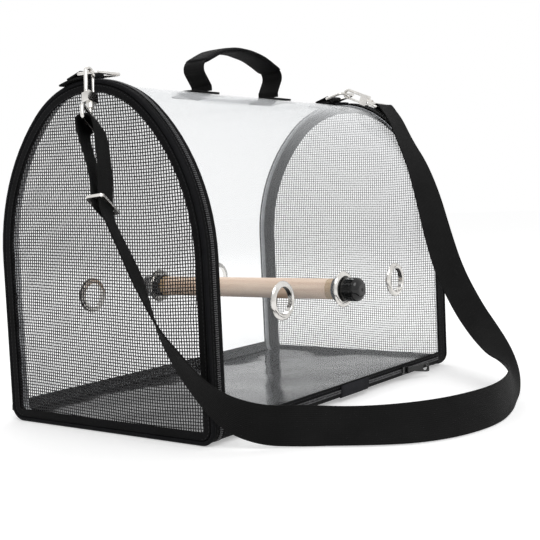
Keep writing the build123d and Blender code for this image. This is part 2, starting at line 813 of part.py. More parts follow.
# Middle of the single webbing from the near slider to the far hook, each with its width's way.
strap_run = [
    ((-241.5, -61.0, 172.0), (0.86, 0.45, -0.25)),
    ((-237.0, -69.0, 151.0), (0.88, 0.47, -0.10)),
    ((-235.0, -76.0, 134.0), (0.87, 0.50, 0.00)),
    ((-234.0, -82.5, 118.0), (0.80, 0.60, 0.00)),
    ((-233.0, -88.0, 104.0), (0.72, 0.69, 0.00)),
    ((-229.5, -94.5, 88.0), (0.60, 0.80, -0.05)),
    ((-224.5, -103.0, 72.0), (0.45, 0.89, -0.10)),
    ((-220.0, -113.0, 56.0), (0.40, 0.85, -0.25)),
    ((-214.5, -125.5, 41.0), (0.30, 0.75, -0.50)),
    ((-205.0, -141.0, 27.0), (0.05, 0.50, -0.80)),
    ((-190.0, -159.0, 18.5), (-0.05, 0.20, -0.95)),
    ((-172.0, -177.0, 16.6), (-0.20, -0.05, -0.95)),
    ((-158.0, -191.0, 15.0), (-0.40, -0.20, -0.86)),
    ((-148.0, -209.0, 14.6), (-0.46, -0.26, -0.83)),
    ((-137.0, -228.5, 14.8), (-0.43, -0.28, -0.85)),
    ((-124.0, -248.0, 15.4), (-0.34, -0.25, -0.90)),
    ((-104.0, -264.5, 15.8), (-0.26, -0.24, -0.93)),
    ((-77.0, -277.0, 16.2), (-0.15, -0.20, -0.96)),
    ((-36.0, -284.0, 16.4), (-0.05, -0.14, -0.98)),
    ((8.0, -277.0, 16.6), (0.00, -0.10, -0.99)),
    ((47.0, -263.5, 17.0), (0.05, -0.15, -0.98)),
    ((74.0, -252.0, 18.4), (0.25, -0.35, -0.90)),
    ((91.0, -239.5, 27.0), (0.50, -0.62, -0.55)),
    ((104.0, -222.5, 41.0), (0.66, -0.70, -0.12)),
    ((116.0, -203.5, 57.0), (0.70, -0.72, 0.10)),
    ((127.0, -184.6, 75.0), (0.72, -0.70, 0.10)),
    ((143.0, -157.0, 111.0), (0.78, -0.66, 0.10)),
    ((156.0, -138.5, 150.0), (0.88, -0.60, 0.10)),
    ((168.0, -123.0, 188.0), (0.94, -0.46, 0.10)),
    ((177.0, -107.0, 223.0), (0.98, -0.25, 0.05)),
    ((182.5, -90.0, 250.0), (1.00, -0.06, 0.00)),
]


def strap_section(before, point, after, way):
    """The webbing's cross-section, square to its run."""
    run = (Vector(*after) - Vector(*before)).normalized()
    across = Vector(*way)
    across = (across - run * across.dot(run)).normalized()
    with BuildSketch(Plane(point, x_dir=across, z_dir=run)) as section:
        Rectangle(strap_width, strap_thick)
    return section.sketch


# On this plane x is sideways from the bar, y up the hook, and the webbing is as wide as z.
near_side = Plane(near_eye.origin, x_dir=near_eye.z_dir, z_dir=-near_eye.x_dir)
far_up = Vector(0, cos(radians(far_lean)), sin(radians(far_lean)))
far_side = Plane(far_eye.origin, x_dir=far_up.cross(Vector(1, 0, 0)), z_dir=(1, 0, 0))
near_end = near_side.from_local_coords((near_loop[0][0], near_loop[0][1]))
far_end = far_side.from_local_coords((far_fold[0][0], far_fold[0][1]))

stops = [(near_end, near_eye.x_dir)] + strap_run + [(far_end, (1, 0, 0))]
places = [Vector(*place) for place, way in stops]
before_first = near_side.from_local_coords(near_loop[1])
after_last = far_side.from_local_coords(far_fold[1])
run_ends = [before_first] + places + [after_last]
sections = [
    strap_section(run_ends[i], places[i], run_ends[i + 2], stops[i][1]) for i in range(len(stops))
]

with BuildPart() as shoulder_strap:
    with BuildSketch(near_side.offset(-strap_width / 2)):
        with BuildLine() as loop_line:
            FilletPolyline(*near_loop, radius=near_loop_bends)
        trace(loop_line.line, line_width=strap_thick)
    extrude(amount=strap_width)
    loft(sections, ruled=True)
    with BuildSketch(far_side.offset(-strap_width / 2)):
        with BuildLine() as fold_line:
            FilletPolyline(*far_fold, radius=far_fold_bends)
        trace(fold_line.line, line_width=strap_thick)
    extrude(amount=strap_width)
write(shoulder_strap.part, "shoulder_strap")

# The loop's two legs pass through this slider, one each side of its middle bar.
adjuster_up = -72.0
adjuster_middle = 8.4
adjuster_thick = 2.4
adjuster_bar = 2.4
adjuster_slot = 9.6
adjuster_rim = 2.5
adjuster_plane = Plane(
    near_side.from_local_coords((adjuster_middle, adjuster_up)),
    x_dir=near_side.z_dir,
    z_dir=near_side.y_dir,
)
with BuildPart() as strap_slider:
    with BuildSketch(adjuster_plane):
        adjuster_wide = strap_width + 2.0
        RectangleRounded(adjuster_wide + 2 * adjuster_rim, adjuster_slot + 2 * adjuster_rim, 3.0)
        RectangleRounded(adjuster_wide, adjuster_slot, 1.2, mode=Mode.SUBTRACT)
        Rectangle(adjuster_wide + adjuster_rim, adjuster_bar)
    extrude(amount=adjuster_thick)
write(strap_slider.part, "strap_slider")
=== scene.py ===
# %% [markdown]
# # A soft-sided bird travel carrier
#
# The real carrier is a clear plastic tunnel, bent to an arch, between two ends of fine black
# net. Black cloth binds every edge, a zip lets the near end fold down, a wooden perch runs
# through metal eyelets, and a shoulder strap hangs from two snap hooks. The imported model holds
# the hard parts at their true size. This script keeps those, gives them their finish, and
# makes everything that is cloth, net, webbing, thread or clear sheet.

import json
from math import asin, atan2, cos, pi, radians, sin, sqrt, tan

import bpy
import numpy as np
from mathutils import Matrix, Vector

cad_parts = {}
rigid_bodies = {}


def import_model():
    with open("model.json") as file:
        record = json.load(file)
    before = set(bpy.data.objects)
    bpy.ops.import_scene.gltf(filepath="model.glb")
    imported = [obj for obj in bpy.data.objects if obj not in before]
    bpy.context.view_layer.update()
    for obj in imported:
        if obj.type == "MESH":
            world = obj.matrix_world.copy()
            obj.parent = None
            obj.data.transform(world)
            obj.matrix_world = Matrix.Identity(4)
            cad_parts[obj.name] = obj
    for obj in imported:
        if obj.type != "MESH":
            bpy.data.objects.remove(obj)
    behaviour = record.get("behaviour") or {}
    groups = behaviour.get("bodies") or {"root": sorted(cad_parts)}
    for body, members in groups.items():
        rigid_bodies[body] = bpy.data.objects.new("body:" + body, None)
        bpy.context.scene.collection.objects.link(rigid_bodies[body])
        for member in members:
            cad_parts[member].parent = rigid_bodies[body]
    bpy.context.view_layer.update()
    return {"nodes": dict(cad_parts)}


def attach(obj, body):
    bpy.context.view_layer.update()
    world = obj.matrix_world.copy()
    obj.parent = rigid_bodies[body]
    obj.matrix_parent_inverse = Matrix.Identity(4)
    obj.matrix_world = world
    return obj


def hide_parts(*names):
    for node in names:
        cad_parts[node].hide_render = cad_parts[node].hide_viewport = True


for leftover in list(bpy.data.objects):
    bpy.data.objects.remove(leftover)
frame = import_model()
nodes = frame["nodes"]
bpy.ops.object.select_all(action="DESELECT")
MM = 0.001
print("nodes in the frame:", len(nodes))

# %% [markdown]
# ## The camera
#
# The photograph was taken from a little above the middle of the carrier's height, in front of
# its near left corner, with a short telephoto lens and a slight lean to one side. Writing the
# camera as a direction of view plus a lean keeps those three facts apart. The alternative, a
# Track To constraint, cannot lean.

# %% Stand the camera where the photograph was taken
yaw, pitch, lean = radians(36.23), radians(-4.10), radians(-2.59)
look = Vector((cos(yaw) * cos(pitch), sin(yaw) * cos(pitch), sin(pitch)))
level = look.cross(Vector((0, 0, 1))).normalized()
upright = level.cross(look)
rightward = level * cos(lean) + upright * sin(lean)
upward = upright * cos(lean) - level * sin(lean)
bpy.ops.object.camera_add(location=(-0.7984, -0.6167, 0.1937))
camera = bpy.context.object
camera.name = "photo_camera"
camera.rotation_euler = Matrix((rightward, upward, -look)).transposed().to_euler()
camera.data.lens = 66.46
camera.data.clip_start = 0.01
bpy.context.scene.camera = camera
bpy.context.scene.view_settings.view_transform = "Standard"
print("camera looks along", [round(v, 3) for v in look])

# %% [markdown]
# ## The shoulder strap's route
#
# The strap is 32 mm polyester webbing. One end is a sewn loop on the near hook's bar, with a
# metal slider on it. From there the webbing hangs in front of the net, turns over, lies on its
# edge in a wide bend on the ground and climbs to the far hook. Each point of the route has the
# way that the webbing's width points, because a flat strap that only has a middle line can't
# twist. Both lists become NURBS curves of the same order, so they are read at the same places.

# %% Points of the route, from the near loop's tail to the far fold's tail
strap_width = 32 * MM
near_bar = Vector((-0.22707, -0.02550, 0.25814))
near_wide = Vector((0.83455, 0.39033, -0.38880))
near_up = Vector((0.29998, 0.26998, 0.91494))
near_side = Vector((0.46210, -0.88020, 0.10822))
far_bar = Vector((0.18400, -0.06368, 0.28908))
far_up = Vector((0, 0.60182, 0.79864))
far_in = Vector((0, 0.79864, -0.60182))


def near_point(side, up):
    return near_bar + near_side * (side * MM) + near_up * (up * MM)


def far_point(inward, up):
    return far_bar + far_in * (inward * MM) + far_up * (up * MM)


loop_tail = [(6.1, -78), (5.4, -62), (2.2, -40), (-4.5, -16), (-7.4, 0.4), (-4.0, 3.3)]
loop_head = [(3.6, 3.3), (7.0, 0.4), (9.6, -18), (11.0, -40), (10.8, -62), (10.6, -76)]
near_route = [(near_point(*place), near_wide) for place in loop_tail + loop_head]
bar_top = near_point(-0.2, 3.3)
hanging = [
    (-241.5, -61.0, 172.0, 0.86, 0.45, -0.25),
    (-237.0, -69.0, 151.0, 0.88, 0.47, -0.10),
    (-235.0, -76.0, 134.0, 0.87, 0.50, 0.00),
    (-234.0, -82.5, 118.0, 0.80, 0.60, 0.00),
    (-233.0, -88.0, 104.0, 0.72, 0.69, 0.00),
    (-229.5, -94.5, 88.0, 0.60, 0.80, -0.05),
    (-224.5, -103.0, 72.0, 0.45, 0.89, -0.10),
    (-220.0, -113.0, 56.0, 0.40, 0.85, -0.25),
    (-214.5, -125.5, 41.0, 0.30, 0.75, -0.50),
    (-205.0, -141.0, 27.0, 0.05, 0.50, -0.80),
    (-190.0, -159.0, 18.5, -0.05, 0.20, -0.95),
    (-172.0, -177.0, 16.6, -0.20, -0.05, -0.95),
]
lying = [
    (-158.0, -191.0, 15.0, -0.40, -0.20, -0.86),
    (-148.0, -209.0, 14.6, -0.46, -0.26, -0.83),
    (-137.0, -228.5, 14.8, -0.43, -0.28, -0.85),
    (-124.0, -248.0, 15.4, -0.34, -0.25, -0.90),
    (-104.0, -264.5, 15.8, -0.26, -0.24, -0.93),
    (-77.0, -277.0, 16.2, -0.15, -0.20, -0.96),
    (-36.0, -284.0, 16.4, -0.05, -0.14, -0.98),
    (8.0, -277.0, 16.6, 0.00, -0.10, -0.99),
    (47.0, -263.5, 17.0, 0.05, -0.15, -0.98),
    (74.0, -252.0, 18.4, 0.25, -0.35, -0.90),
    (91.0, -239.5, 27.0, 0.50, -0.62, -0.55),
]
rising = [
    (104.0, -222.5, 41.0, 0.66, -0.70, -0.12),
    (116.0, -203.5, 57.0, 0.70, -0.72, 0.10),
    (127.0, -184.6, 75.0, 0.72, -0.70, 0.10),
    (143.0, -157.0, 111.0, 0.78, -0.66, 0.10),
    (156.0, -138.5, 150.0, 0.88, -0.60, 0.10),
    (168.0, -123.0, 188.0, 0.94, -0.46, 0.10),
    (177.0, -107.0, 223.0, 0.98, -0.25, 0.05),
    (182.5, -90.0, 250.0, 1.00, -0.06, 0.00),
]
ground_route = [
    (Vector(row[:3]) * MM, Vector(row[3:])) for row in hanging + lying + rising
]
fold = [(-2.7, -20), (-2.7, -8), (-2.9, 1), (-1.4, 2.9), (1.4, 2.9), (2.9, 1), (1.6, -6)]
fold_tail = [(-0.9, -13), (-1.0, -23)]
far_route = [(far_point(*place), Vector((1, 0, 0))) for place in fold + fold_tail]
strap_route = near_route + ground_route + far_route
print("points on the strap's route:", len(strap_route))

# %% [markdown]
# A NURBS curve with no thickness gives back its own smooth line when it is turned into a mesh.
# That line is what a strap of real webbing would follow, so the strap's cross-section is laid
# along it as a strip of faces, five columns wide so that it can cup a little.


# %% Read a smooth line through some points
def smooth_line(points, resolution=10):
    """Points of a NURBS spline that has these as its control points."""
    curve = bpy.data.curves.new("route", "CURVE")
    curve.dimensions = "3D"
    spline = curve.splines.new("NURBS")
    spline.points.add(len(points) - 1)
    for point, place in zip(spline.points, points):
        point.co = (*place, 1)
    spline.order_u = 3
    spline.use_endpoint_u = True
    spline.resolution_u = resolution
    holder = bpy.data.objects.new("route", curve)
    bpy.context.scene.collection.objects.link(holder)
    bpy.context.view_layer.update()
    mesh = bpy.data.meshes.new_from_object(holder)
    line = [vertex.co.copy() for vertex in mesh.vertices]
    bpy.data.objects.remove(holder)
    bpy.data.meshes.remove(mesh)
    return line


strap_line = smooth_line([place for place, way in strap_route])
strap_ways = smooth_line([way for place, way in strap_route])
head = min(range(len(strap_line)), key=lambda i: (strap_line[i] - bar_top).length)
tail = min(range(len(strap_line)), key=lambda i: (strap_line[i] - far_point(0, 3)).length)


# %% Pieces made of corners and faces
def add_mesh(name, corners, faces):
    """A new piece in the scene, made straight from its corners and faces."""
    mesh = bpy.data.meshes.new(name)
    mesh.from_pydata(corners, [], faces)
    piece = bpy.data.objects.new(name, mesh)
    bpy.context.scene.collection.objects.link(piece)
    return piece


def flat_strip(name, line, ways, wide, thick, cup):
    """Webbing along a line: u runs along it in metres, v across it from 0 to 1."""
    columns = 5
    corners, faces, along = [], [], [0.0]
    for a, b in zip(line, line[1:]):
        along.append(along[-1] + (b - a).length)
    for i, place in enumerate(line):
        run = (line[min(i + 1, len(line) - 1)] - line[max(i - 1, 0)]).normalized()
        across = (ways[i] - run * ways[i].dot(run)).normalized()
        out = run.cross(across)
        for j in range(columns):
            t = j / (columns - 1) - 0.5
            corners.append(place + across * (wide * t) + out * (cup * (0.25 - t * t) * 4))
    for i in range(len(line) - 1):
        for j in range(columns - 1):
            a = i * columns + j
            faces.append((a, a + 1, a + columns + 1, a + columns))
    piece = add_mesh(name, corners, faces)
    layer = piece.data.uv_layers.new(name="UVMap")
    for loop in piece.data.loops:
        row, column = divmod(loop.vertex_index, columns)
        layer.data[loop.index].uv = (along[row], column / (columns - 1))
    return thicken(piece, thick)


def pick(piece):
    """Make this the only selected piece, and the active one."""
    bpy.ops.object.select_all(action="DESELECT")
    piece.select_set(True)
    bpy.context.view_layer.objects.active = piece


def face_outward(piece):
    """Turn the faces of a piece the same way, to its outside."""
    pick(piece)
    bpy.ops.object.mode_set(mode="EDIT")
    bpy.ops.mesh.select_all(action="SELECT")
    bpy.ops.mesh.normals_make_consistent(inside=False)
    bpy.ops.object.mode_set(mode="OBJECT")


def apply_modifier(piece, kind, **settings):
    """Add one modifier with these settings and apply it at once."""
    pick(piece)
    bpy.ops.object.modifier_add(type=kind)
    modifier = piece.modifiers[-1]
    for key, value in settings.items():
        setattr(modifier, key, value)
    bpy.ops.object.modifier_apply(modifier=modifier.name)
    return piece


def thicken(piece, thick, offset=0.0):
    return apply_modifier(piece, "SOLIDIFY", thickness=thick, offset=offset)


def round_off(piece, radius, segments=2):
    """Soften the edges whose faces meet at more than 40 degrees."""
    limit = {"limit_method": "ANGLE", "angle_limit": radians(40)}
    return apply_modifier(piece, "BEVEL", width=radius, segments=segments, **limit)


strap = flat_strip("strap_web", strap_line, strap_ways, strap_width, 1.5 * MM, cup=0.5 * MM)
round_off(strap, 0.35 * MM, segments=1)
print("faces in the strap:", len(strap.data.polygons))

# %% [markdown]
# ## Finishes
#
# Every finish is a small graph of shader nodes. Two classes keep the graphs readable: Value
# lets the arithmetic be written as arithmetic, and Finish adds any other node in one call.


# %% Arithmetic on sockets
class Value:
    """A number that varies over a surface."""

    def __init__(self, tree, socket):
        self.tree = tree
        self.socket = socket

    def math(self, operation, *terms):
        node = self.tree.nodes.new("ShaderNodeMath")
        node.operation = operation
        for socket, term in zip(node.inputs, terms):
            if isinstance(term, Value):
                self.tree.links.new(term.socket, socket)
            else:
                socket.default_value = term
        return Value(self.tree, node.outputs[0])

    def __add__(self, other):
        return self.math("ADD", self, other)

    def __radd__(self, other):
        return self.math("ADD", other, self)

    def __mul__(self, other):
        return self.math("MULTIPLY", self, other)

    def __pow__(self, other):
        return self.math("POWER", self, other)

    def sine(self):
        return self.math("SINE", self)

    def size(self):
        return self.math("ABSOLUTE", self)

    def above(self, limit):
        return self.math("GREATER_THAN", self, limit)

    def larger(self, other):
        return self.math("MAXIMUM", self, other)


# %% A finish, built one node at a time
class Finish:
    """A material whose nodes are added by one method."""

    def __init__(self, name, **constants):
        self.material = bpy.data.materials.new(name)
        self.material.use_nodes = True
        self.tree = self.material.node_tree
        self.shader = self.tree.nodes["Principled BSDF"]
        self.output = self.tree.nodes["Material Output"]
        for key, value in constants.items():
            self.shader.inputs[key.replace("_", " ")].default_value = value

    def node(self, kind, settings=None, sockets=None, output=0):
        """Add a node: its settings first, then each socket's value or link."""
        node = self.tree.nodes.new("ShaderNode" + kind)
        for key, value in (settings or {}).items():
            if key == "stops":
                ramp = node.color_ramp
                while len(ramp.elements) < len(value):
                    ramp.elements.new(0.5)
                for element, (place, colour) in zip(ramp.elements, value):
                    element.position = place
                    element.color = (*colour, 1)
            else:
                setattr(node, key, value)
        for key, value in (sockets or {}).items():
            if isinstance(value, Value):
                self.tree.links.new(value.socket, node.inputs[key])
            else:
                node.inputs[key].default_value = value
        return Value(self.tree, node.outputs[output])

    def place(self):
        return self.node("TexCoord", output=3)

    def split(self, vector):
        parts = self.node("SeparateXYZ", sockets={"Vector": vector})
        return [Value(self.tree, parts.socket.node.outputs[i]) for i in range(3)]

    def stretched(self, *scale):
        """Coordinates that draw a pattern out along the axes with a small scale."""
        return self.node("Mapping", sockets={"Vector": self.place(), "Scale": scale})

    def noise(self, scale, detail, vector=None):
        sockets = {"Scale": scale, "Detail": detail, "Vector": vector or self.place()}
        return self.node("TexNoise", sockets=sockets)

    def ramp(self, value, *stops):
        return self.node("ValToRGB", {"stops": stops}, {"Fac": value})

    def feed(self, **links):
        for key, value in links.items():
            self.tree.links.new(value.socket, self.shader.inputs[key.replace("_", " ")])

    def bump(self, height, distance, strength=1.0):
        sockets = {"Height": height, "Distance": distance, "Strength": strength}
        self.feed(Normal=self.node("Bump", sockets=sockets))

    def paint(self, *pieces):
        for piece in pieces:
            piece.data.materials.clear()
            piece.data.materials.append(self.material)
        return self


# %% [markdown]
# ### Cloth and webbing
#
# The black cloth is plain-woven polyester with a thin coating: a fine over-and-under weave and
# almost no colour change. Three sine waves along the axes give the weave on a surface that
# faces any way. Webbing is different: its ribs run along it in rows of slanted stitches, so it
# reads the strip's own UV map, or on short straight pieces the width's axis.


# %% Black polyester cloth
def woven_cloth(name, dark, light, pitch=0.7, depth=0.1):
    """Plain weave: pitch from yarn to yarn and depth of the bump, in mm."""
    cloth = Finish(name, Specular_IOR_Level=0.09)
    x, y, z = [(axis * (2 * pi / (pitch * MM))).sine() for axis in cloth.split(cloth.place())]
    weave = x * y + y * z + z * x
    cloudy = cloth.noise(28, 4)
    grainy = cloth.noise(420, 2)
    tone = cloudy * 0.75 + weave * 0.05 + grainy * 0.25
    cloth.feed(
        Base_Color=cloth.ramp(tone, (0.3, dark), (0.75, light)),
        Roughness=0.66 + cloudy * 0.2,
    )
    cloth.bump(weave * 0.5 + grainy * 0.8 + cloudy * 1.5, depth * MM)
    return cloth


black_cloth = woven_cloth("black_cloth", (0.002, 0.002, 0.002), (0.009, 0.009, 0.010))
hem_cloth = woven_cloth("hem_cloth", (0.003, 0.003, 0.004), (0.010, 0.010, 0.011), 0.5, 0.06)
patch_cloth = woven_cloth("patch_cloth", (0.010, 0.010, 0.012), (0.028, 0.028, 0.032), 0.9, 0.12)

# %% Black webbing
def webbing(name, across=None):
    """Ribbed webbing: across is the width's axis, or None for the strip's own map."""
    rib, slant_pitch = 1.6 * MM, 1.1 * MM
    cloth = Finish(name, Specular_IOR_Level=0.12)
    if across is None:
        u, v = cloth.split(cloth.node("TexCoord", output=2))[:2]
        length, width = u * (2 * pi / slant_pitch), v * (2 * pi * strap_width / rib)
    else:
        axes = cloth.split(cloth.place())
        others = [axis for i, axis in enumerate(axes) if i != across]
        width = axes[across] * (2 * pi / rib)
        length = (others[0] + others[1] * 0.9) * (2 * pi / slant_pitch)
    ribs = width.sine()
    slant = (length + ribs * 0.9).sine()
    fuzz = cloth.noise(900, 2)
    cloudy = cloth.noise(35, 3)
    shade = cloudy * 0.6 + slant * 0.08 + ribs * 0.06 + fuzz * 0.3
    cloth.feed(
        Base_Color=cloth.ramp(shade, (0.25, (0.002,) * 3), (0.8, (0.009,) * 3)),
        Roughness=0.62 + fuzz * 0.25,
    )
    cloth.bump(ribs * 0.6 + slant * 0.45 + fuzz * 0.5, 0.16 * MM)
    return cloth


strap_webbing = webbing("strap_webbing")
handle_webbing = webbing("handle_webbing", across=1)
tab_webbing = webbing("tab_webbing", across=0)
strap_webbing.paint(strap)


# %% Thread, net yarn and zip coil
def plain_plastic(name, colour, rough, grain=600, spread=0.06, **constants):
    """Solid plastic with a slight mottle: thread, yarn, moulded coil or a pressed cap."""
    plastic = Finish(name, **constants)
    mottle = plastic.noise(grain, 2)
    lighter = tuple(c * 1.7 + 0.002 for c in colour)
    plastic.feed(
        Base_Color=plastic.ramp(mottle, (0.3, colour), (0.75, lighter)),
        Roughness=rough - spread + mottle * (2 * spread),
    )
    plastic.bump(mottle, 0.02 * MM, 0.4)
    return plastic


sewing_thread = plain_plastic("sewing_thread", (0.008, 0.008, 0.009), 0.55, Specular_IOR_Level=0.3)
net_yarn = plain_plastic("net_yarn", (0.008, 0.008, 0.009), 0.5, Specular_IOR_Level=0.2)
zip_coil = plain_plastic("zip_coil", (0.075, 0.075, 0.078), 0.26)
pressed_cap = plain_plastic(
    "pressed_cap", (0.003, 0.003, 0.003), 0.10, 160, 0.03, Specular_IOR_Level=0.4
)
black_enamel = plain_plastic("black_enamel", (0.006, 0.006, 0.006), 0.24, 240, 0.05)
board_plastic = plain_plastic("board_plastic", (0.05, 0.05, 0.055), 0.5, 200)

# The floor is lined with a cloth coated to wipe clean: it shines where it is seen low.
wipe_clean = plain_plastic("wipe_clean_lining", (0.007, 0.007, 0.008), 0.13, 40, 0.05)


# %% [markdown]
# ### Metal, wood and clear sheet
#
# The eyelets, rings and hooks are nickel on steel: bright, with faint cloudiness and fine
# polishing lines. The perch is a turned beech dowel, pale pink cream, and its colour turns a
# darker tan within about 17 mm of each wall.
# The clear wall is soft PVC: a Transparent shader mixed with a glossy one, which shows the
# cage behind it without the dark shadows that true glass casts. The share of gloss follows
# Layer Weight's Facing, because Fresnel turns the back faces of so thin a sheet into mirrors.


# %% Nickel and spring steel
def bright_metal(name, colour, rough, streak):
    metal = Finish(name, Metallic=1.0)
    cloudy = metal.noise(90, 3)
    lines = metal.noise(1500, 2, metal.stretched(1, 1, streak))
    darker = tuple(c * 0.72 for c in colour)
    metal.feed(
        Base_Color=metal.ramp(cloudy, (0.25, darker), (0.6, colour)),
        Roughness=rough + cloudy * 0.1 + lines * 0.06,
    )
    metal.bump(lines, 0.01 * MM, 0.5)
    return metal


nickel = bright_metal("polished_nickel", (0.74, 0.72, 0.69), 0.10, 0.1)
spring_steel = bright_metal("spring_steel", (0.52, 0.53, 0.55), 0.28, 0.02)

# %% Beech dowel
beech = Finish("beech", Specular_IOR_Level=0.35)
grain = beech.noise(260, 5, beech.stretched(1, 0.035, 1))
flecks = beech.noise(1300, 2, beech.stretched(1, 0.1, 1))
pale = beech.ramp(grain * 0.8 + flecks * 0.2, (0.3, (0.74, 0.50, 0.36)), (0.6, (0.95, 0.73, 0.56)))
# Beyond 103.5 mm from the middle the colour is a darker tan, with an edge that wanders with the
# grain.
tan_end = beech.ramp(grain, (0.3, (0.46, 0.29, 0.15)), (0.7, (0.68, 0.48, 0.29)))
tan_from = 103.5 * MM
ends = (beech.split(beech.place())[1].size() + grain * (4 * MM)).above(tan_from)
mixed = beech.node("Mix", {"data_type": "RGBA"}, output=2)
mixer = mixed.socket.node
for slot_number, source in ((0, ends), (6, pale), (7, tan_end)):
    beech.tree.links.new(source.socket, mixer.inputs[slot_number])
beech.feed(Base_Color=mixed, Roughness=0.42 + grain * 0.25)
beech.bump(grain * 0.7 + flecks * 0.3, 0.06 * MM)


# %% Clear sheet
def clear_sheet(name, tint, gloss, haze):
    """See-through plastic: mostly Transparent, glossy where it is seen at a low angle."""
    sheet = Finish(name, Specular_IOR_Level=0.6, Base_Color=(0.96, 0.98, 1.0, 1))
    clear = sheet.node("BsdfTransparent", sockets={"Color": (*tint, 1)})
    cloudy = sheet.noise(14, 3)
    facing = sheet.node("LayerWeight", sockets={"Blend": 0.5}, output=1)
    sheet.feed(Roughness=0.04 + cloudy * 0.08)
    sheet.bump(cloudy, 1.2 * MM, 0.25)
    amount = facing**4 * gloss + cloudy * haze + 0.02
    mix = sheet.node("MixShader", sockets={"Fac": amount})
    mixer = mix.socket.node
    sheet.tree.links.new(clear.socket, mixer.inputs[1])
    sheet.tree.links.new(sheet.shader.outputs[0], mixer.inputs[2])
    sheet.tree.links.new(mix.socket, sheet.output.inputs["Surface"])
    return sheet


clear_pvc = clear_sheet("clear_pvc", (0.992, 0.994, 0.995), 0.7, 0.03)
frosted_pvc = clear_sheet("frosted_pvc", (0.80, 0.81, 0.83), 0.8, 0.35)

# %% Finishes on the hard parts of the frame
for finish, names in (
    (nickel, "eyelets eyelet_washers near_d_ring far_d_ring near_hook far_hook strap_slider"),
    (nickel, "near_hook_gate far_hook_gate near_hook_eye far_hook_eye"),
    (black_enamel, "door_zip_slider door_zip_pull base_zip_slider base_zip_pull"),
    (spring_steel, "near_hoop far_hoop door_hoop"),
    (pressed_cap, "strap_side_perch_cap plain_side_perch_cap"),
    (board_plastic, "floor_board"),
    (beech, "perch_dowel"),
):
    finish.paint(*[nodes[name] for name in names.split()])
    print(finish.material.name, "on", len(names.split()), "nodes")

# %% [markdown]
# ## Working along the arch
#
# Most of the cloth is a strip that follows the arch: flat foot, two small corners, straight
# sides, two wide arcs and one crown arc. A seamstress bends one long strip round that line, and
# the same is done here. The strip's cross-section is drawn once as a ring of edges, then
# extruded along each straight part and spun round each arc's centre. Joining the first and
# last rings closes it. A Bevel softens its folded edges.

# %% The arch's measures
half_length, half_width, height = 206 * MM, 121 * MM, 300 * MM
spring, crown_radius, corner = 148 * MM, 97 * MM, 14 * MM
rise = height - spring
taper = half_width - crown_radius
side_radius = (half_width**2 + rise**2 - 2 * rise * crown_radius) / (2 * taper)
crown_z = height - crown_radius
side_y = half_width - side_radius
join = atan2(crown_z - spring, -side_y)
corner_y = half_width - corner
print(f"side arc {side_radius / MM:.1f} mm, meets the crown arc at {join * 180 / pi:.1f} degrees")

# %% Moves round the arch
step_angle = radians(4)


def slide(way, steps=1):
    return ("slide", Vector(way), steps)


def turn(centre, angle, axis=(1, 0, 0), finer=1):
    steps = max(2, round(abs(angle) * finer / step_angle))
    return ("turn", Vector(centre), angle, axis, steps)


def over_the_top():
    """Moves from the top of the +Y corner, over the crown, to the top of the -Y corner."""
    straight = spring - corner
    return [
        slide((0, 0, straight), 6),
        turn((0, side_y, spring), join),
        turn((0, 0, crown_z), pi - 2 * join),
        turn((0, -side_y, spring), join),
        slide((0, 0, -straight), 6),
    ]


def whole_arch():
    """Moves from the left end of the foot all round and back."""
    return [
        slide((0, 2 * corner_y, 0), 12),
        turn((0, corner_y, corner), pi / 2, finer=0.5),
        *over_the_top(),
        turn((0, -corner_y, corner), pi / 2, finer=0.5),
    ]


def cut_between(piece, first, last):
    """Remove the edge that joins two corners, so that a ring becomes an open line."""
    bpy.ops.object.mode_set(mode="EDIT")
    bpy.ops.mesh.select_all(action="DESELECT")
    bpy.ops.mesh.select_mode(type="EDGE")
    bpy.ops.object.mode_set(mode="OBJECT")
    for edge in piece.data.edges:
        edge.select = set(edge.vertices) == {first, last}
    bpy.ops.object.mode_set(mode="EDIT")
    bpy.ops.mesh.delete(type="EDGE")
    bpy.ops.mesh.select_mode(type="VERT")
    bpy.ops.object.mode_set(mode="OBJECT")


def draw(name, outline, moves, kind="ring"):
    """Draw a cross-section, given as corners, and carry it through the moves.

    A ring's last section meets its first, a solid is filled at both ends, and a sheet's
    section is an open line.
    """
    bpy.ops.object.select_all(action="DESELECT")
    bpy.ops.mesh.primitive_circle_add(vertices=len(outline), radius=0.01)
    piece = bpy.context.object
    piece.name = piece.data.name = name
    for vertex, place in zip(piece.data.vertices, outline):
        vertex.co = place
    if kind == "sheet":
        cut_between(piece, 0, len(outline) - 1)
    bpy.ops.object.mode_set(mode="EDIT")
    bpy.ops.mesh.select_all(action="SELECT")
    if kind == "solid":
        bpy.ops.mesh.edge_face_add()
    for motion, *terms in moves:
        if motion == "slide":
            way, steps = terms
            for count in range(steps):
                step = {"value": tuple(way / steps)}
                bpy.ops.mesh.extrude_region_move(TRANSFORM_OT_translate=step)
        else:
            centre, angle, axis, steps = terms
            bpy.ops.mesh.spin(steps=steps, angle=-angle, center=centre, axis=axis)
    bpy.ops.mesh.select_all(action="SELECT")
    bpy.ops.mesh.remove_doubles(threshold=0.00002)
    bpy.ops.mesh.normals_make_consistent(inside=False)
    bpy.ops.object.mode_set(mode="OBJECT")
    return piece


def section(end, corners):
    """Corners given as (inset, depth) in mm, as points where the drawing starts."""
    return [(end * (half_length - depth * MM), -corner_y, inset * MM) for inset, depth in corners]


# %% Finish off a piece
def complete(piece, body, slot, finish, *replaced, smooth=35):
    """Smooth it, paint it, hang it on the body it rides on, and hide the nodes it stands for."""
    pick(piece)
    bpy.ops.object.shade_smooth_by_angle(angle=radians(smooth))
    finish.paint(piece)
    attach(piece, body)
    if replaced:
        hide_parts(*replaced)
    print(f"{piece.name}: {len(piece.data.polygons)} faces, rides on {body}")
    return piece


complete(strap, "carrier", "black_webbing", strap_webbing, "shoulder_strap")

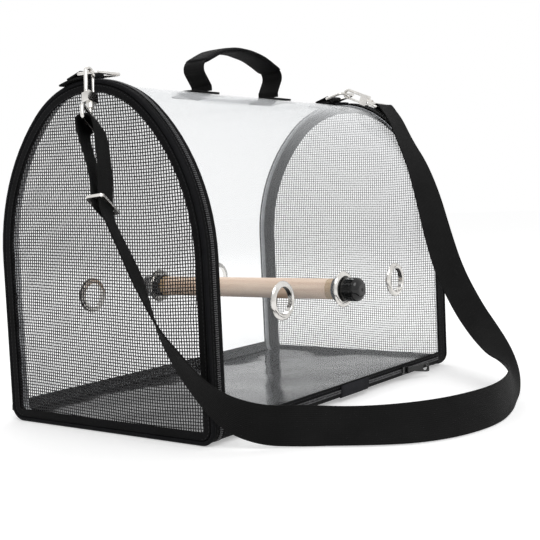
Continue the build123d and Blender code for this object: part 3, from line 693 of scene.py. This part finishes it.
# %% [markdown]
# ## The two ends
#
# Each end is a cloth binding sewn round the net, with a cord of piping in its outer edge. The
# near end's binding carries one row of the zip, and the clear tunnel's binding the other. The
# far end has one wide binding, sewn on. Their section is a folded strip: a flat face round the
# net, a lip behind the piping and a skirt back along the tunnel.

# %% Bindings
face = [(11.2, 0.5), (4.7, 0.4), (4.3, 0.9), (4.2, 4.0), (1.3, 4.1)]
door_skirt = [(0.9, 4.6), (0.8, 7.0), (1.0, 9.7), (2.5, 9.8), (2.6, 6.0), (4.0, 5.9)]
inner = [(4.3, 9.6), (5.7, 9.7), (5.8, 2.2), (11.1, 2.0)]
far_skirt = [(0.9, 4.6), (0.8, 9.0), (1.1, 12.0), (0.8, 15.5), (1.0, 17.8), (2.5, 17.9)]
far_skirt += [(2.6, 6.0), (4.0, 5.9)]
band = [(1.0, 10.3), (0.8, 12.2), (1.2, 13.0), (0.7, 14.4), (1.1, 15.6), (0.8, 16.8), (1.0, 17.9)]
band += [(2.5, 18.0), (2.6, 10.4)]
for name, end, corners, body, node in (
    ("door_binding", -1, face + door_skirt + inner, "door", "door_frame"),
    ("far_binding", 1, face + far_skirt + inner, "carrier", "far_frame"),
    ("tunnel_binding", -1, band, "carrier", "near_band"),
):
    binding = round_off(draw(name, section(end, corners), whole_arch()), 0.25 * MM)
    complete(binding, body, "black_fabric", black_cloth, node)

# %% Piping cords
cord_radius = 2
round_corners = []
for angle in range(0, 360, 30):
    across, back = cos(radians(angle)), sin(radians(angle))
    round_corners.append((cord_radius * (1 + across), cord_radius * (1 + back)))
for name, end, body in (("door", -1, "door"), ("far", 1, "carrier")):
    piping = draw(f"{name}_piping_cord", section(end, round_corners), whole_arch())
    complete(piping, body, "black_fabric", hem_cloth, f"{name}_piping", smooth=60)

# %% [markdown]
# ## Many small copies
#
# Zip teeth, stitches and net crossings repeat by the hundred. Each is modelled once, as a
# small mesh of a few dozen faces, and copied into place as one piece. Array and instances
# would also repeat it, but they can't turn each copy to face out of a curved surface.


# %% Places along the arch
def arch_places(inset, pitch, start):
    """(y, z, angle) every pitch along the arch: angle 0 faces +Y, a quarter turn faces up."""
    runs = [
        (corner_y, corner, corner - inset, start, 0),
        (side_y, spring, side_radius - inset, 0, join),
        (0, crown_z, crown_radius - inset, join, pi - join),
        (-side_y, spring, side_radius - inset, pi - join, pi),
        (-corner_y, corner, corner - inset, pi, pi - start),
    ]
    line = []
    for y, z, radius, low, high in runs:
        count = max(3, int((high - low) * radius / (0.5 * MM)))
        for i in range(count + 1):
            angle = low + (high - low) * i / count
            line.append((y + radius * cos(angle), z + radius * sin(angle), angle))
    places, left = [], 0.0
    for (y0, z0, a0), (y1, z1, a1) in zip(line, line[1:]):
        long = sqrt((y1 - y0) ** 2 + (z1 - z0) ** 2)
        at = left
        while at < long:
            t = at / long
            places.append((y0 + (y1 - y0) * t, z0 + (z1 - z0) * t, a0 + (a1 - a0) * t))
            at += pitch
        left = at - long
    return places


# %% Copy a small piece to many places
def scatter(name, template, matrices):
    """One piece made of copies of the template, which is removed."""
    corners = np.array([v.co for v in template.data.vertices])
    faces = [tuple(p.vertices) for p in template.data.polygons]
    points, polygons = [], []
    for i, matrix in enumerate(matrices):
        m = np.array(matrix)
        points.append(corners @ m[:3, :3].T + m[:3, 3])
        polygons += [tuple(v + i * len(corners) for v in face) for face in faces]
    bpy.data.objects.remove(template)
    print(f"{name}: {len(matrices)} copies")
    return add_mesh(name, np.concatenate(points).tolist(), polygons)


def stand(where, along, out):
    """A matrix that puts x along a row, z out of the surface, at that place."""
    along = Vector(along).normalized()
    out = Vector(out)
    out = (out - along * out.dot(along)).normalized()
    side = out.cross(along)
    turned = Matrix((along, side, out)).transposed().to_4x4()
    turned.translation = Vector(where)
    return turned


# %% One zip tooth and one stitch
def zip_tooth():
    """A loop of coil seen from outside: long across the zip, rounded, with a raised back."""
    bpy.ops.object.select_all(action="DESELECT")
    bpy.ops.mesh.primitive_cube_add(size=1)
    tooth = bpy.context.object
    tooth.scale = (0.85 * MM, 1.5 * MM, 1.3 * MM)
    bpy.ops.object.transform_apply(scale=True)
    return round_off(tooth, 0.32 * MM, segments=1)


def stitch(long=2.5):
    """One lockstitch: a short bead of thread that dips into the cloth at both ends."""
    bpy.ops.object.select_all(action="DESELECT")
    bpy.ops.mesh.primitive_uv_sphere_add(segments=6, ring_count=4, radius=0.5)
    bead = bpy.context.object
    bead.rotation_euler = (0, pi / 2, 0)
    bpy.ops.object.transform_apply(rotation=True)
    bead.scale = (long * MM, 0.5 * MM, 0.34 * MM)
    bpy.ops.object.transform_apply(scale=True)
    return bead


def arch_row(x, inset, pitch, facing="out", start=-0.9):
    """Places for a row that runs round the arch at this x, facing out or along the tunnel."""
    row = []
    for y, z, angle in arch_places(inset * MM, pitch * MM, start):
        out = (0, cos(angle), sin(angle)) if facing == "out" else (facing, 0, 0)
        row.append(stand((x, y, z), (0, -sin(angle), cos(angle)), out))
    return row


# %% [markdown]
# ## The zips
#
# These are nylon coil zips. From outside, each side is a row of small round-shouldered loops.
# The door's zip runs round the arch a centimetre behind the net, and the base zip runs
# straight along the strap's side, just above the ground.

# %% Zip rows
tooth_pitch, tooth_inset, base_side = 1.7, 0.25, -120.65
for name, body, depth in (("door", "door", 9.05), ("band", "carrier", 10.95)):
    row = arch_row(-half_length + depth * MM, tooth_inset, tooth_pitch)
    teeth = scatter(f"{name}_zip_teeth", zip_tooth(), row)
    complete(teeth, body, "zip_coil", zip_coil, f"{name}_zip_coil", smooth=70)
for name, z in (("upper", 11.45), ("lower", 9.55)):
    places = [(x * MM, base_side * MM, z * MM) for x in np.arange(-183, 183, tooth_pitch)]
    row = [stand(place, (1, 0, 0), (0, -1, 0)) for place in places]
    teeth = scatter(f"base_{name}_teeth", zip_tooth(), row)
    complete(teeth, "carrier", "zip_coil", zip_coil, f"base_zip_{name}_coil", smooth=70)

# %% [markdown]
# ## The net
#
# The net is woven, black and fine: about 2.7 mm from yarn to yarn. It is the largest thing in
# the picture, and light comes through it, so painting holes on a plane would look wrong as
# soon as it is seen from the side. Each yarn is made as a square bar that steps over one
# crossing and under the next. The binding pulls it in a little, so it puckers near its edge.


# %% How far the arch reaches
def half_at(z, inset):
    """Half the arch's width at height z."""
    if z < corner:
        return corner_y + sqrt(max(0.0, (corner - inset) ** 2 - (corner - z) ** 2))
    if z < spring:
        return half_width - inset
    reach = side_radius - inset
    if z - spring < reach * sin(join):
        return side_y + sqrt(reach**2 - (z - spring) ** 2)
    return sqrt(max(0.0, (crown_radius - inset) ** 2 - (z - crown_z) ** 2))


def top_at(y, inset):
    """The arch's height at this distance from its middle."""
    y = abs(y)
    reach = crown_radius - inset
    if y < reach * cos(join):
        return crown_z + sqrt(reach**2 - y**2)
    return spring + sqrt(max(0.0, (side_radius - inset) ** 2 - (y - side_y) ** 2))


# %% Weave the net
def woven_net(name, x, pitch=2.7 * MM, yarn=0.80 * MM, depth=0.46 * MM, inset=7 * MM):
    """Upright and level yarns that pass over and under one another, inside the arch."""
    corners, faces = [], []
    phases = [2.1, 5.6, 4.9, 1.4, 1.9]

    def pucker(y, z):
        edge = min(1.0, max(0.0, 1 - (half_at(z, inset) - abs(y)) / 0.05))
        swell = sin(y * 95 + phases[0]) * cos(z * 80 + phases[1]) * 0.35
        ripple = sin((y + z) * 210 + phases[2]) * edge * 0.45
        return (swell + ripple) * MM

    def lay(points, flat):
        """One yarn through these (y, z, over) points: flat is its width's way in the net."""
        start = len(corners)
        for y, z, over in points:
            middle = x + pucker(y, z) + over * 0.2 * MM
            sway_y = (sin(z * 19 + 0.6) * 2.2 + sin(z * 61 + phases[3]) * 0.3) * MM
            sway_z = (sin(y * 23 - 0.5) * 2.0 + sin(y * 57 + phases[4]) * 0.3) * MM
            for side, front in ((-1, -1), (1, -1), (1, 1), (-1, 1)):
                wide_y, wide_z = (side * part * yarn / 2 for part in flat)
                corner_x = middle + front * depth / 2
                corners.append((corner_x, y + sway_y + wide_y, z + sway_z + wide_z))
        for i in range(len(points) - 1):
            a = start + 4 * i
            for j in range(4):
                k = (j + 1) % 4
                faces.append((a + j, a + k, a + 4 + k, a + 4 + j))
        last = len(corners) - 4
        faces.append((start + 3, start + 2, start + 1, start))
        faces.append((last, last + 1, last + 2, last + 3))

    columns = int((half_width - inset) / pitch)
    for i in range(-columns, columns + 1):
        y = i * pitch
        top = top_at(y, inset)
        rows = range(int(inset / pitch) + 1, int(top / pitch) + 1)
        points = [(y, inset, 0)] + [(y, j * pitch, (-1) ** (i + j)) for j in rows] + [(y, top, 0)]
        lay(points, (1, 0))
    for j in range(int(inset / pitch) + 1, int((height - inset) / pitch) + 1):
        z = j * pitch
        reach = half_at(z, inset)
        span = int(reach / pitch)
        points = [(i * pitch, z, -((-1) ** (i + j))) for i in range(-span, span + 1)]
        lay([(-reach, z, 0)] + points + [(reach, z, 0)], (0, 1))
    piece = add_mesh(name, corners, faces)
    face_outward(piece)
    return piece


door_net = woven_net("door_net_weave", -half_length + 2.75 * MM)
complete(door_net, "door", "black_net", net_yarn, "door_net", smooth=20)
far_net = woven_net("far_net_weave", half_length - 2.75 * MM, yarn=0.55 * MM, depth=0.36 * MM)
complete(far_net, "carrier", "black_net", net_yarn, "far_net", smooth=20)

# %% [markdown]
# ## The clear tunnel
#
# The tunnel is one sheet of soft clear PVC, 1 mm thick, bent over the hoops. A flat sheet held
# in a curve is never quite smooth, and its slow waves are what break up the reflections, so
# the drawn sheet gets a little displacement before it gets its thickness. Six round holes are
# then cut for the eyelets.

# %% Clear sheet with its eyelet holes
lip = radians(40)
sheet_inset = 3.9 * MM
start_y = corner_y + (corner - sheet_inset) * cos(lip)
start_z = corner - (corner - sheet_inset) * sin(lip)
sheet_line = [(x * MM, start_y, start_z) for x in np.linspace(-194.8, 194.8, 40)]
sheet_moves = [
    turn((0, corner_y, corner), lip, finer=0.4),
    *over_the_top(),
    turn((0, -corner_y, corner), lip, finer=0.4),
]
clear_wall = draw("clear_wall", sheet_line, sheet_moves, "sheet")
slow_waves = bpy.data.textures.new("slow_waves", "CLOUDS")
slow_waves.noise_scale = 0.09
apply_modifier(clear_wall, "DISPLACE", texture=slow_waves, strength=0.5 * MM, mid_level=0.5)
thicken(clear_wall, 0.9 * MM, -1.0)
for x in (-100, 0, 100):
    bpy.ops.object.select_all(action="DESELECT")
    bpy.ops.mesh.primitive_cylinder_add(
        vertices=48,
        radius=12.85 * MM,
        depth=0.3,
        location=(x * MM, 0, 105 * MM),
        rotation=(pi / 2, 0, 0),
    )
    punch = bpy.context.object
    apply_modifier(clear_wall, "BOOLEAN", object=punch, operation="DIFFERENCE")
    bpy.data.objects.remove(punch)
complete(clear_wall, "carrier", "clear_sheet", clear_pvc, "clear_tunnel", smooth=50)

# %% [markdown]
# ## The base
#
# A trough of black cloth holds the stiff board. Its top edge is a folded binding sewn over the
# clear sheet, the zip's tape is a flat band below that, and the corners are soft. One open line
# is drawn across the carrier, carried along it, and given the cloth's thickness inwards.

# %% Base trough
def bottom_corner(side):
    """Points round a bottom corner, from the foot up to the straight side."""
    reach = corner - 1.0 * MM
    turns = [radians(a) for a in (-78, -60, -42, -24, -8)]
    return [(side * (corner_y + reach * cos(a)), corner + reach * sin(a)) for a in turns]


rim = [(119.4, 17.0), (120.2, 16.7), (120.5, 15.6), (120.4, 13.9), (120.0, 13.0)]
left_rim = [(-y * MM, z * MM) for y, z in rim]
right_rim = [(y * MM, z * MM) for y, z in rim]
foot_line = [(y * MM, 0.25 * MM) for y in (-104, -80, -40, 0, 40, 80, 104)]
trough = left_rim + bottom_corner(-1)[::-1] + foot_line + bottom_corner(1) + right_rim[::-1]
base_half = 187.7 * MM
base = draw(
    "base_cloth",
    [(-base_half, y, z) for y, z in trough],
    [slide((2 * base_half, 0, 0), 60)],
    "sheet",
)
creases = bpy.data.textures.new("creases", "CLOUDS")
creases.noise_scale = 0.025
apply_modifier(base, "DISPLACE", texture=creases, strength=0.25 * MM, mid_level=0.5)
face_outward(base)
outward = sum(p.normal.z * p.area for p in base.data.polygons) < 0
thicken(base, 2.2 * MM, -1.0 if outward else 1.0)
side_bindings = ("strap_side_binding", "plain_side_binding")
complete(base, "carrier", "black_fabric", black_cloth, "base_cover", *side_bindings)

# %% Flap over the middle of the base zip
flap_out = [(-122.5, 16.0), (-122.9, 13.0), (-122.9, 8.0), (-121.5, 5.0), (-120.4, 4.2)]
flap_in = [(-119.3, 4.6), (-121.3, 8.5), (-121.5, 12.8), (-121.2, 15.8)]
flap_edge = [(-18.5 * MM, y * MM, z * MM) for y, z in flap_out + flap_in]
flap = draw("base_zip_flap", flap_edge, [slide((49 * MM, 0, 0), 10)], "solid")
apply_modifier(flap, "DISPLACE", texture=creases, strength=0.3 * MM, mid_level=0.5)
round_off(flap, 0.2 * MM)
complete(flap, "carrier", "black_fabric", patch_cloth, "base_zip_tab")

# %% Floor lining
bpy.ops.object.select_all(action="DESELECT")
on_board = (0, 0, 5.9 * MM)
bpy.ops.mesh.primitive_grid_add(x_subdivisions=90, y_subdivisions=50, size=1, location=on_board)
lining = bpy.context.object
lining.name = lining.data.name = "floor_lining_cloth"
lining.scale = (389 * MM, 215 * MM, 1)
bpy.ops.object.transform_apply(location=True, scale=True)
folds = bpy.data.textures.new("lining_folds", "CLOUDS")
folds.noise_scale = 0.11
apply_modifier(lining, "DISPLACE", texture=folds, strength=4.5 * MM, mid_level=0.15)
thicken(lining, 0.8 * MM, -1.0)
complete(lining, "carrier", "grey_lining", wipe_clean, "floor_lining")

# %% [markdown]
# ## The handle
#
# The handle is one length of 25 mm webbing. Its ends lie flat on the roof, each sewn through a
# cloth patch inside. Between them it stands up in an S, leans out, and passes through a padded
# cloth sleeve that is the grip. The webbing's section is carried along straight parts and
# bends, worked out from the same corner points and bend sizes as the frame's.


# %% Straight parts and bends through corner points
def bends(points, radii):
    """Moves through (x, z) points in mm, each inner corner rounded to its radius."""
    moves, spent = [], 0.0
    spots = [Vector((x * MM, 0, z * MM)) for x, z in points]
    for i in range(1, len(spots)):
        way = spots[i] - spots[i - 1]
        run = way.normalized()
        if i == len(spots) - 1:
            moves.append(slide(run * (way.length - spent), 3))
            break
        after = (spots[i + 1] - spots[i]).normalized()
        angle = atan2(run.z * after.x - run.x * after.z, run.dot(after))
        radius = radii[i - 1] * MM
        taken = radius * tan(abs(angle) / 2)
        moves.append(slide(run * (way.length - spent - taken), 3))
        begin = spots[i] - run * taken
        inside = Vector((run.z, 0, -run.x)) * (1 if angle > 0 else -1)
        moves.append(turn(begin + inside * radius, angle, (0, 1, 0), finer=0.8))
        spent = taken
    return moves


def flat_section(place, run, wide, thick, rounding=0.35):
    """A webbing section in mm, square to a run in the x-z plane, with soft edges."""
    run = Vector((run[0], 0, run[1])).normalized()
    normal = Vector((-run.z, 0, run.x))
    middle = Vector((place[0] * MM, 0, place[1] * MM))
    w, t, r = wide / 2, thick / 2, thick * rounding
    corners = [(-w + r, -t), (0, -t), (w - r, -t), (w, -t + r), (w, t - r)]
    corners += [(w - r, t), (0, t), (-w + r, t), (-w, t - r), (-w, -t + r)]
    return [middle + Vector((0, y * MM, 0)) + normal * (n * MM) for y, n in corners]


# %% Handle webbing
roof = 296.2
stand_up = [(-54, roof + 2.3), (-54, roof + 7), (-69, roof + 26)]
crest = [(-36, roof + 41), (-4, roof + 46), (32, roof + 41)]
come_down = [(66, roof + 27), (54, roof + 7), (54, roof + 2.3)]
handle = draw(
    "handle_strap",
    flat_section(stand_up[0], (0, 1), 25, 2),
    bends(stand_up + crest + come_down, [4, 8, 60, 90, 90, 8, 4]),
    "solid",
)
complete(handle, "carrier", "black_webbing", handle_webbing, "handle_webbing")

# %% Grip sleeve
grip_line = [(-62.3, roof + 29), *crest, (61, roof + 29)]
grip_run = (grip_line[1][0] - grip_line[0][0], grip_line[1][1] - grip_line[0][1])
grip = draw(
    "handle_grip_sleeve",
    flat_section(grip_line[0], grip_run, 30, 5.6, 0.45),
    bends(grip_line, [60, 90, 90]),
    "solid",
)
apply_modifier(grip, "SUBSURF", levels=1, render_levels=1)
padding = bpy.data.textures.new("padding", "CLOUDS")
padding.noise_scale = 0.012
apply_modifier(grip, "DISPLACE", texture=padding, strength=0.5 * MM, mid_level=0.6)
complete(grip, "carrier", "grip_fabric", black_cloth, "handle_grip", smooth=60)


# %% Pieces that lie on the roof
def roof_piece(name, x0, x1, inset0, inset1, wide):
    """A flat piece bent over the crown, between two x places and two insets, in mm."""
    half = wide / 2 * MM / crown_radius
    outline = []
    for inset, first, last in ((inset1, x0, x1), (inset0, x1, x0)):
        reach = crown_radius - inset * MM
        for x in np.linspace(first, last, 8):
            outline.append((x * MM, reach * sin(half), crown_z + reach * cos(half)))
    piece = draw(name, outline, [turn((0, 0, crown_z), 2 * half, finer=2)], "solid")
    return round_off(piece, 0.25 * MM)


for side, name in ((-1, "near"), (1, "far")):
    x0, x1 = sorted((side * 42, side * 78))
    foot = roof_piece(f"{name}_handle_end", x0, x1, 1.7, 3.6, 25)
    complete(foot, "carrier", "black_webbing", handle_webbing, f"{name}_handle_foot")
    x0, x1 = sorted((side * 40, side * 80))
    patch = roof_piece(f"{name}_patch_cloth", x0, x1, 4.95, 6.4, 34)
    complete(patch, "carrier", "black_fabric", patch_cloth, f"{name}_handle_patch")
strip = roof_piece("roof_reinforcement", -39.7, 39.7, 5.0, 5.8, 34)
complete(strip, "carrier", "frosted_sheet", frosted_pvc, "roof_strip")

# %% [markdown]
# ## Tabs that hold the D-rings
#
# Each D-ring sits in a loop of webbing sewn to the cloth binding at the crown. The loop's lower
# half follows the roof, it folds round the ring's straight bar, and its upper half comes back
# down on to the lower one.

# %% Ring tabs
fold_radius, bar_y, under = 2.35, 2.0, 97.6
bar_reach = under + 0.8 + fold_radius
bar_z = crown_z / MM + sqrt(bar_reach**2 - bar_y**2)
bar_angle = pi / 2 - asin(bar_y / bar_reach)
sewn, slope = 27 / 98.4, radians(17)
first, fold_end, lower = bar_angle - sewn, bar_angle - slope, bar_angle - sewn * 0.6
top_y, top_z = bar_y + fold_radius * cos(fold_end), bar_z + fold_radius * sin(fold_end)
meet = Vector((0, 99.9 * MM * cos(lower), crown_z + 99.9 * MM * sin(lower)))
moves = [
    turn((0, 0, crown_z), sewn, finer=2),
    turn((0, bar_y * MM, bar_z * MM), -pi - slope, finer=0.5),
    slide(meet - Vector((0, top_y * MM, top_z * MM)), 5),
]
webbing_corners = [(-12.4, 97.8), (-12.2, under), (12.2, under), (12.4, 97.8)]
webbing_corners += [(12.4, 99.0), (12.2, 99.2), (-12.2, 99.2), (-12.4, 99.0)]
for name, x, x0, x1 in (("near", -196.6, -193.4, -188.4), ("far", 184.0, 188.4, 196.3)):
    outline = []
    for across, reach in webbing_corners:
        y, z = reach * MM * cos(first), crown_z + reach * MM * sin(first)
        outline.append(((x + across) * MM, y, z))
    tab = draw(f"{name}_tab_webbing", outline, moves, "solid")
    complete(tab, "carrier", "black_webbing", tab_webbing, f"{name}_ring_tab")
    pad = roof_piece(f"{name}_tab_seat", x0, x1, -0.55, 0.85, 22)
    complete(pad, "carrier", "black_fabric", patch_cloth)

# %% [markdown]
# ## Stitching
#
# Every binding is sewn with a row of black lockstitch beside each folded edge, about 3.5 mm to
# a stitch, and the webbing ends with closed boxes of stitches. The rows are what tell the eye
# that the black strips are cloth.

# %% Rows round both ends
stitch_pitch = 3.5


def sew(name, body, row, long=2.5):
    """One piece of thread: a stitch at each place of the row."""
    seam = scatter(name, stitch(long), row)
    complete(seam, body, "black_fabric", sewing_thread, smooth=80)


for body, name, out in (("door", "door", -1), ("carrier", "far", 1)):
    row = []
    for inset, depth in ((5.6, 0.42), (10.3, 0.46)):
        x = out * (half_length - depth * MM)
        row += arch_row(x, inset, stitch_pitch, facing=out, start=-pi / 2)
    sew(f"{name}_face_stitches", body, row)
for name, body, end, depths in (
    ("door_skirt", "door", -1, (6.4,)),
    ("tunnel_binding", "carrier", -1, (13.0, 16.6)),
    ("far_skirt", "carrier", 1, (6.2, 12.6, 16.4)),
):
    row = []
    for depth in depths:
        row += arch_row(end * (half_length - depth * MM), 0.85, stitch_pitch)
    sew(f"{name}_stitches", body, row)

# %% Rows along the base and round the webbing's ends
row = []
for side in (-1, 1):
    for x in np.arange(-185, 186, stitch_pitch):
        row.append(stand((x * MM, side * 120.6 * MM, 14.6 * MM), (1, 0, 0), (0, side, 0)))
sew("base_stitches", "carrier", row)


def roof_stitch(x, across, reach, along_x):
    """A stitch on the crown, across mm from its middle, run along x or across it."""
    angle = pi / 2 - across / 95.5
    out = Vector((0, cos(angle), sin(angle)))
    along = (1, 0, 0) if along_x else (0, -sin(angle), cos(angle))
    return stand(Vector((x * MM, 0, crown_z)) + out * (reach * MM), along, out)


row, on_roof, on_tab = [], 95.4, 99.25
for side in (-1, 1):
    for x in np.arange(60.5, 76, 3.0):
        row += [roof_stitch(side * x, y, on_roof, True) for y in (-9.5, 9.5)]
    for y in np.arange(-8, 9, 3.0):
        row += [roof_stitch(side * x, y, on_roof, False) for x in (59, 76)]
    for t in (0, 0.2, 0.4, 0.6, 0.8, 1):
        for y in (-8 + 16 * t, 8 - 16 * t):
            row.append(roof_stitch(side * (60 + 15 * t), y, on_roof, True))
for x in (-196.6, 184.0):
    for y in np.arange(14, 27, 3.0):
        row += [roof_stitch(x + across, y, on_tab, False) for across in (-10, 10)]
    row += [roof_stitch(x + across, 25.6, on_tab, True) for across in np.arange(-9, 10, 3.0)]
sew("webbing_stitches", "carrier", row, 2.2)

tuple(near_point(0, 0))
([nodes[n] for n in "strap_slider near_hook near_hook_gate near_hook_eye".split()]
    + [nodes[n] for n in "far_hook far_hook_gate far_hook_eye".split()])

# %% [markdown]
# ## The studio
#
# A white sweep and white surroundings give the black cloth clean edges and fill the clear
# sheet's reflections. One large soft lamp from the upper left puts a light side and a dark
# side on things. The surroundings are plain white to the camera and a little lower as light,
# so that a colour comes out about as it was written.

# %% Floor, surroundings and lamps
bpy.ops.object.select_all(action="DESELECT")
bpy.ops.mesh.primitive_plane_add(size=14, location=(0, 0, -0.3 * MM))
floor = bpy.context.object
floor.name = "studio_floor"
white = Finish("studio_white", Roughness=0.9, Specular_IOR_Level=0.0, Emission_Strength=1.0)
white.shader.inputs["Base Color"].default_value = (0.80, 0.80, 0.80, 1)


def seen_directly(tree):
    """1 for a ray from the camera, a mirror or a see-through surface, and 0 for light."""
    outputs = tree.nodes.new("ShaderNodeLightPath").outputs
    camera_ray, glossy_ray, through_ray = [
        Value(tree, outputs[f"Is {kind} Ray"]) for kind in ("Camera", "Glossy", "Transmission")
    ]
    return camera_ray.larger(glossy_ray).larger(through_ray)


white.feed(Emission_Color=seen_directly(white.tree) * 0.36)
white.paint(floor)
world = bpy.data.worlds.new("studio")
bpy.context.scene.world = world
world.use_nodes = True
tree = world.node_tree
background = tree.nodes["Background"]
strength = seen_directly(tree) * 0.22 + 0.78
tree.links.new(strength.socket, background.inputs["Strength"])
background.inputs["Color"].default_value = (1, 1, 1, 1)
for name, place, size, power in (
    ("key_lamp", (-0.9, -1.3, 1.9), 1.4, 16),
    ("rear_lamp", (0.9, 1.2, 1.6), 1.2, 7),
):
    bpy.ops.object.light_add(type="AREA", location=place)
    lamp = bpy.context.object
    lamp.name = name
    lamp.data.shape = "DISK"
    lamp.data.size = size
    lamp.data.energy = power
    aim = Vector((0, 0, 0.15)) - Vector(place)
    lamp.rotation_euler = aim.to_track_quat("-Z", "Y").to_euler()
